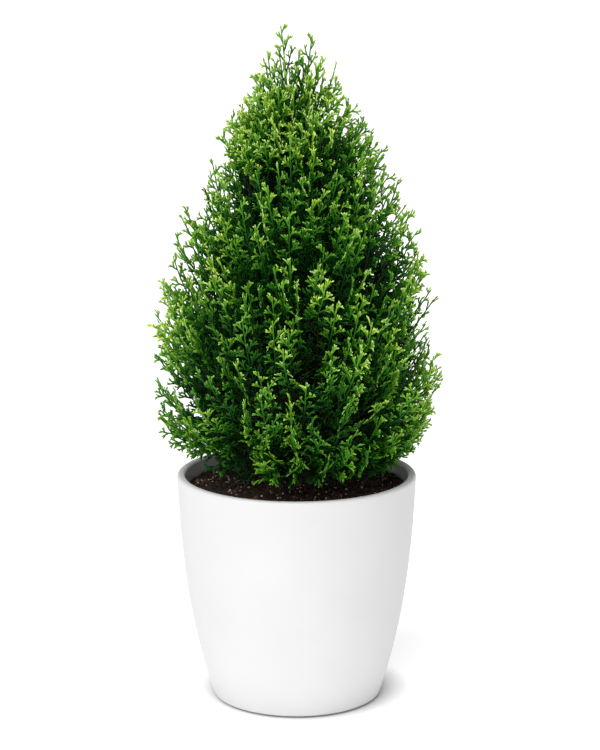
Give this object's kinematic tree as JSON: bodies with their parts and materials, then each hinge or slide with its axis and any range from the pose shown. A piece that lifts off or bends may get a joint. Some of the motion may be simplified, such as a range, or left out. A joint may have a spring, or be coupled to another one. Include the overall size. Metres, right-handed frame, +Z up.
{
  "type": "artificial tabletop tree",
  "caption": "Slim cone-shaped artificial conifer with bendable feathery branches, in a round pot that curves in to its foot; the planted insert lifts out.",
  "frame": {"origin": "middle of the pad's underside, on the surface that the pot stands on", "axes": "+Z up along the trunk; -Y to the front, as seen in the reference view; +X to the viewer's right"},
  "size_m": [0.2451, 0.2452, 0.6],
  "materials": {
    "glaze": "matt white glaze",
    "felt": "pressed felt",
    "liner": "moulded, matt",
    "concrete": "cast, rough",
    "foam": "expanded beads, cut",
    "socket": "moulded, matt",
    "soil": "glued crumbs of coir and perlite",
    "steel": "drawn rod",
    "bark": "moulded bark",
    "stem": "moulded over wire",
    "sprays": "moulded foliage, satin"
  },
  "bodies": {
    "planter": {"outer_pot": "glaze", "base_pad": "felt"},
    "insert": {"liner_pot": "liner", "ballast_block": "concrete", "foam_disc": "foam", "trunk_socket": "socket", "soil_cover": "soil"},
    "tree": {"trunk_pole": "steel", "trunk_bark": "bark"},
    "branch_01": {"branch_01_stem": "stem", "branch_01_sprays": "sprays"},
    "branch_02": {"branch_02_stem": "stem", "branch_02_sprays": "sprays"},
    "branch_03": {"branch_03_stem": "stem", "branch_03_sprays": "sprays"},
    "branch_04": {"branch_04_stem": "stem", "branch_04_sprays": "sprays"},
    "branch_05": {"branch_05_stem": "stem", "branch_05_sprays": "sprays"},
    "branch_06": {"branch_06_stem": "stem", "branch_06_sprays": "sprays"},
    "branch_07": {"branch_07_stem": "stem", "branch_07_sprays": "sprays"},
    "branch_08": {"branch_08_stem": "stem", "branch_08_sprays": "sprays"},
    "branch_09": {"branch_09_stem": "stem", "branch_09_sprays": "sprays"},
    "branch_10": {"branch_10_stem": "stem", "branch_10_sprays": "sprays"},
    "branch_11": {"branch_11_stem": "stem", "branch_11_sprays": "sprays"},
    "branch_12": {"branch_12_stem": "stem", "branch_12_sprays": "sprays"},
    "branch_13": {"branch_13_stem": "stem", "branch_13_sprays": "sprays"},
    "branch_14": {"branch_14_stem": "stem", "branch_14_sprays": "sprays"},
    "branch_15": {"branch_15_stem": "stem", "branch_15_sprays": "sprays"},
    "branch_16": {"branch_16_stem": "stem", "branch_16_sprays": "sprays"},
    "branch_17": {"branch_17_stem": "stem", "branch_17_sprays": "sprays"},
    "branch_18": {"branch_18_stem": "stem", "branch_18_sprays": "sprays"},
    "branch_19": {"branch_19_stem": "stem", "branch_19_sprays": "sprays"},
    "branch_20": {"branch_20_stem": "stem", "branch_20_sprays": "sprays"},
    "branch_21": {"branch_21_stem": "stem", "branch_21_sprays": "sprays"},
    "leader_left": {"leader_left_stem": "stem", "leader_left_sprays": "sprays"},
    "leader_right": {"leader_right_stem": "stem", "leader_right_sprays": "sprays"}
  },
  "joints": [
    {"name": "insert_lift", "type": "slide", "parent": "planter", "child": "insert", "axis": [0, 0, 1], "range_m": [0, 0.2]},
    {"name": "tree_turn", "type": "hinge", "parent": "insert", "child": "tree", "pos_m": [0, 0, 0.2], "axis": [0, 0, 1], "continuous": true},
    {"name": "branch_01_bend", "type": "hinge", "parent": "tree", "child": "branch_01", "pos_m": [0.0105, 0, 0.21067], "axis": [0, -1, 0], "range_deg": [-3, 12]},
    {"name": "branch_02_bend", "type": "hinge", "parent": "tree", "child": "branch_02", "pos_m": [-0.0077, 0.00714, 0.21362], "axis": [0.6802, 0.7331, 0], "range_deg": [-3, 12]},
    {"name": "branch_03_bend", "type": "hinge", "parent": "tree", "child": "branch_03", "pos_m": [0.00078, -0.01047, 0.21644], "axis": [-0.9972, -0.0747, 0], "range_deg": [-3, 12]},
    {"name": "branch_04_bend", "type": "hinge", "parent": "tree", "child": "branch_04", "pos_m": [0.00655, 0.00821, 0.21916], "axis": [0.7818, -0.6235, 0], "range_deg": [-3, 12]},
    {"name": "branch_05_bend", "type": "hinge", "parent": "tree", "child": "branch_05", "pos_m": [-0.01038, -0.00156, 0.22188], "axis": [-0.149, 0.9888, 0], "range_deg": [-3, 12]},
    {"name": "branch_06_bend", "type": "hinge", "parent": "tree", "child": "branch_06", "pos_m": [0.00868, -0.00592, 0.22467], "axis": [-0.5633, -0.8262, 0], "range_deg": [-3, 12]},
    {"name": "branch_07_bend", "type": "hinge", "parent": "tree", "child": "branch_07", "pos_m": [-0.00234, 0.01024, 0.22762], "axis": [0.9749, 0.2225, 0], "range_deg": [-8, 12]},
    {"name": "branch_08_bend", "type": "hinge", "parent": "tree", "child": "branch_08", "pos_m": [-0.00525, -0.00909, 0.2312], "axis": [-0.866, 0.5, 0], "range_deg": [-8, 12]},
    {"name": "branch_09_bend", "type": "hinge", "parent": "tree", "child": "branch_09", "pos_m": [0.01003, 0.0031, 0.23563], "axis": [0.2948, -0.9556, 0], "range_deg": [-8, 12]},
    {"name": "branch_10_bend", "type": "hinge", "parent": "tree", "child": "branch_10", "pos_m": [-0.00946, 0.00456, 0.24071], "axis": [0.4339, 0.901, 0], "range_deg": [-8, 12]},
    {"name": "branch_11_bend", "type": "hinge", "parent": "tree", "child": "branch_11", "pos_m": [0.00384, -0.00977, 0.24651], "axis": [-0.9309, -0.3653, 0], "range_deg": [-8, 12]},
    {"name": "branch_12_bend", "type": "hinge", "parent": "tree", "child": "branch_12", "pos_m": [0.00384, 0.00977, 0.25313], "axis": [0.9309, -0.3653, 0], "range_deg": [-8, 12]},
    {"name": "branch_13_bend", "type": "hinge", "parent": "tree", "child": "branch_13", "pos_m": [-0.00946, -0.00456, 0.26077], "axis": [-0.4339, 0.901, 0], "range_deg": [-8, 9]},
    {"name": "branch_14_bend", "type": "hinge", "parent": "tree", "child": "branch_14", "pos_m": [0.01003, -0.0031, 0.26969], "axis": [-0.2948, -0.9556, 0], "range_deg": [-8, 9]},
    {"name": "branch_15_bend", "type": "hinge", "parent": "tree", "child": "branch_15", "pos_m": [-0.00525, 0.00909, 0.28025], "axis": [0.866, 0.5, 0], "range_deg": [-8, 9]},
    {"name": "branch_16_bend", "type": "hinge", "parent": "tree", "child": "branch_16", "pos_m": [-0.00234, -0.01024, 0.29301], "axis": [-0.9749, 0.2225, 0], "range_deg": [-8, 9]},
    {"name": "branch_17_bend", "type": "hinge", "parent": "tree", "child": "branch_17", "pos_m": [0.00868, 0.00592, 0.30877], "axis": [0.5633, -0.8262, 0], "range_deg": [-8, 9]},
    {"name": "branch_18_bend", "type": "hinge", "parent": "tree", "child": "branch_18", "pos_m": [-0.01038, 0.00156, 0.32882], "axis": [0.149, 0.9888, 0], "range_deg": [-8, 6]},
    {"name": "branch_19_bend", "type": "hinge", "parent": "tree", "child": "branch_19", "pos_m": [0.00655, -0.00821, 0.35525], "axis": [-0.7818, -0.6235, 0], "range_deg": [-8, 6]},
    {"name": "branch_20_bend", "type": "hinge", "parent": "tree", "child": "branch_20", "pos_m": [0.00078, 0.01047, 0.39176], "axis": [0.9972, -0.0747, 0], "range_deg": [-8, 6]},
    {"name": "branch_21_bend", "type": "hinge", "parent": "tree", "child": "branch_21", "pos_m": [-0.0077, -0.00714, 0.44546], "axis": [-0.6802, 0.7331, 0], "range_deg": [-8, 6]},
    {"name": "leader_left_bend", "type": "hinge", "parent": "tree", "child": "leader_left", "pos_m": [-0.0068, 0, 0.492], "axis": [0, 1, 0], "range_deg": [-8, 0]},
    {"name": "leader_right_bend", "type": "hinge", "parent": "tree", "child": "leader_right", "pos_m": [0.0068, 0, 0.492], "axis": [0, -1, 0], "range_deg": [-8, 0]}
  ]
}
